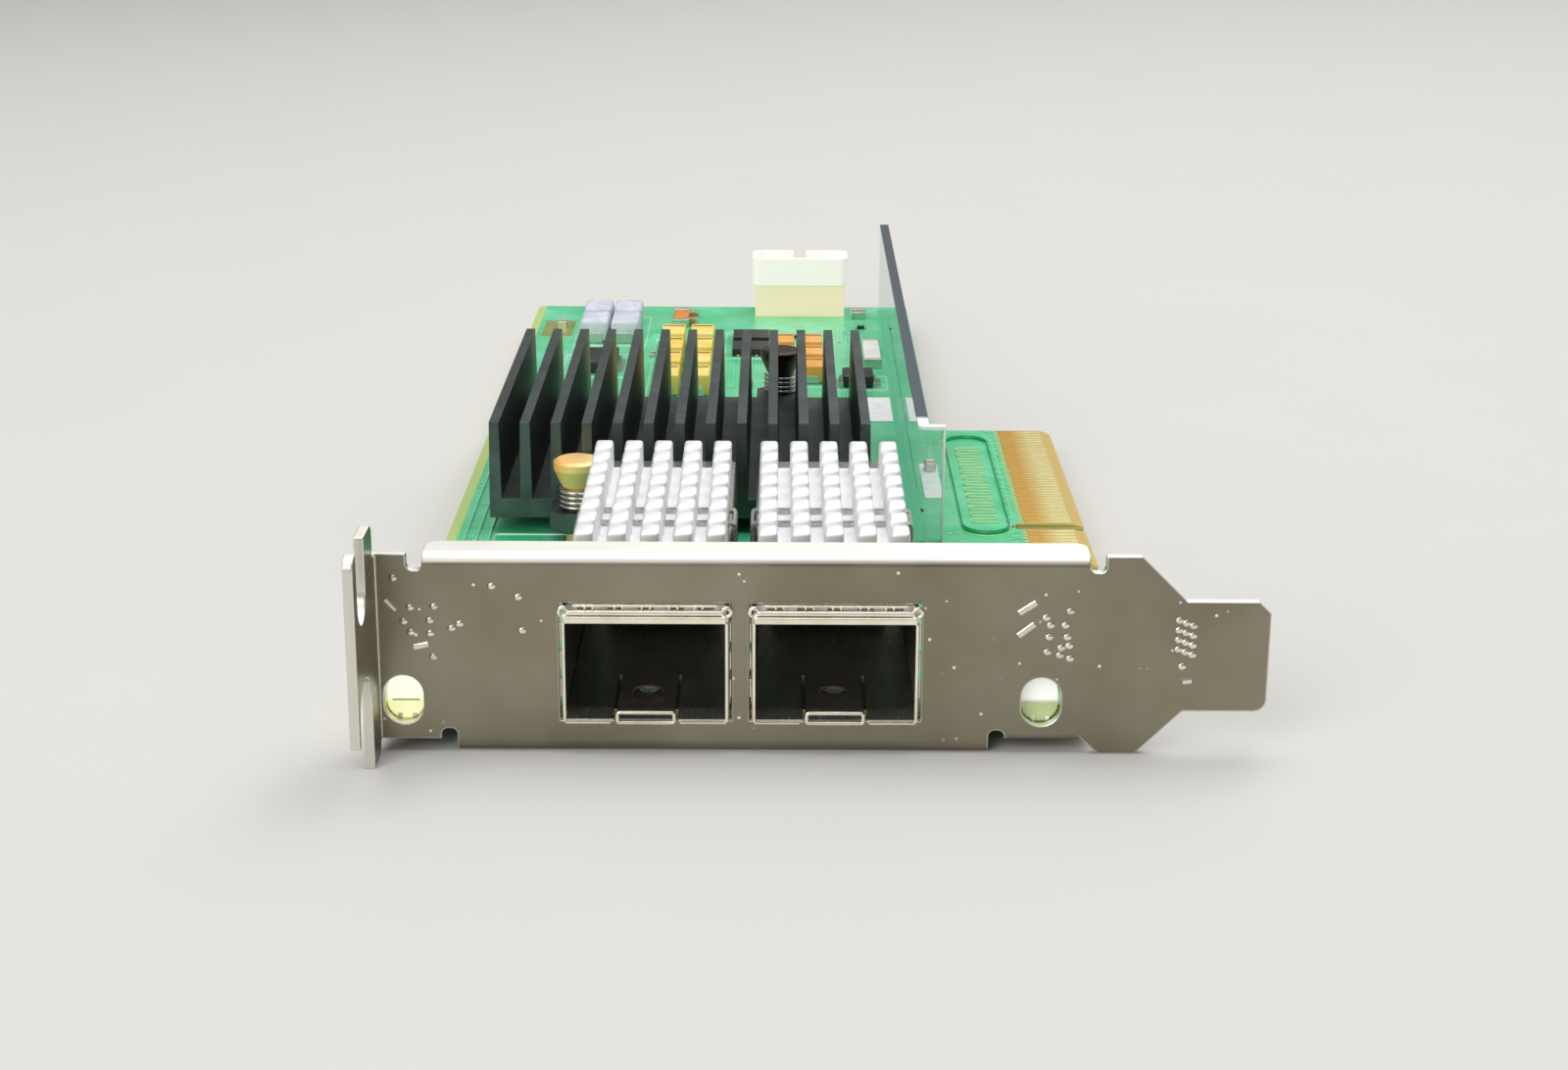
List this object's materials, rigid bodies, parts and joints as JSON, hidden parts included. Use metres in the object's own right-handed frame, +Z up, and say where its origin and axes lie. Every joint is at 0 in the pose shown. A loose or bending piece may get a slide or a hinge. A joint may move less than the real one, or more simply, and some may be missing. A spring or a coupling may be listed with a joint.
{
  "type": "network interface card",
  "caption": "Low-profile expansion card that adds fibre network ports: slotted metal bracket with module cages, finned heat sinks and an edge connector along one side.",
  "frame": {"origin": "middle of the footprint, at the bracket's lower edge, with the card lying component side up", "axes": "+Z up off the component side, +Y along the card from the bracket to the rear edge, +X toward the edge connector and the bracket's tongue"},
  "size_m": [0.0792, 0.1764, 0.0216],
  "materials": {
    "bracket": "nickel plated, satin",
    "bracket_screws": "zinc plated",
    "circuit_board": "green solder mask on glass epoxy",
    "edge_contacts": "gold plated copper",
    "cage_shell_left": "nickel plated, bright",
    "cage_floor_left": "nickel plated, bright",
    "grounding_collar_left": "tin plated spring sheet",
    "host_connector_left": "black moulded",
    "host_leads_left": "plated copper alloy",
    "cage_heat_sink_left": "bright finish",
    "heat_sink_clip_left": "spring steel",
    "status_lamp_left": "diffused, pale yellow-green",
    "cage_shell_right": "nickel plated, bright",
    "cage_floor_right": "nickel plated, bright",
    "grounding_collar_right": "tin plated spring sheet",
    "host_connector_right": "black moulded",
    "host_leads_right": "plated copper alloy",
    "cage_heat_sink_right": "bright finish",
    "heat_sink_clip_right": "spring steel",
    "status_lamp_right": "diffused, pale yellow-green",
    "main_heat_sink": "black anodised",
    "controller_chip": "black moulded package",
    "thermal_pad": "soft grey",
    "push_pin_front": "bare turned brass",
    "push_pin_spring_front": "spring wire",
    "push_pin_rear": "bare turned brass",
    "push_pin_spring_rear": "spring wire",
    "rear_header": "cream nylon",
    "rear_header_pins": "tin plated",
    "power_inductors": "grey ferrite composite",
    "bulk_capacitors": "yellow moulded",
    "small_bulk_capacitors": "orange moulded",
    "ceramic_capacitors": "ceramic with tin end caps",
    "chip_resistors": "dark with tin end caps",
    "underside_capacitors": "ceramic with tin end caps",
    "memory_chip": "black moulded package",
    "regulator_chip": "black moulded package",
    "power_switches": "black moulded package",
    "crystal": "metal can",
    "edge_guard": "clear plastic sheet"
  },
  "bodies": {
    "root": {"bracket": "bracket", "bracket_screws": "bracket_screws", "circuit_board": "circuit_board", "edge_contacts": "edge_contacts", "cage_shell_left": "cage_shell_left", "cage_floor_left": "cage_floor_left", "grounding_collar_left": "grounding_collar_left", "host_connector_left": "host_connector_left", "host_leads_left": "host_leads_left", "cage_heat_sink_left": "cage_heat_sink_left", "heat_sink_clip_left": "heat_sink_clip_left", "status_lamp_left": "status_lamp_left", "cage_shell_right": "cage_shell_right", "cage_floor_right": "cage_floor_right", "grounding_collar_right": "grounding_collar_right", "host_connector_right": "host_connector_right", "host_leads_right": "host_leads_right", "cage_heat_sink_right": "cage_heat_sink_right", "heat_sink_clip_right": "heat_sink_clip_right", "status_lamp_right": "status_lamp_right", "main_heat_sink": "main_heat_sink", "controller_chip": "controller_chip", "thermal_pad": "thermal_pad", "push_pin_front": "push_pin_front", "push_pin_spring_front": "push_pin_spring_front", "push_pin_rear": "push_pin_rear", "push_pin_spring_rear": "push_pin_spring_rear", "rear_header": "rear_header", "rear_header_pins": "rear_header_pins", "power_inductors": "power_inductors", "bulk_capacitors": "bulk_capacitors", "small_bulk_capacitors": "small_bulk_capacitors", "ceramic_capacitors": "ceramic_capacitors", "chip_resistors": "chip_resistors", "underside_capacitors": "underside_capacitors", "memory_chip": "memory_chip", "regulator_chip": "regulator_chip", "power_switches": "power_switches", "crystal": "crystal", "edge_guard": "edge_guard"}
  },
  "joints": []
}
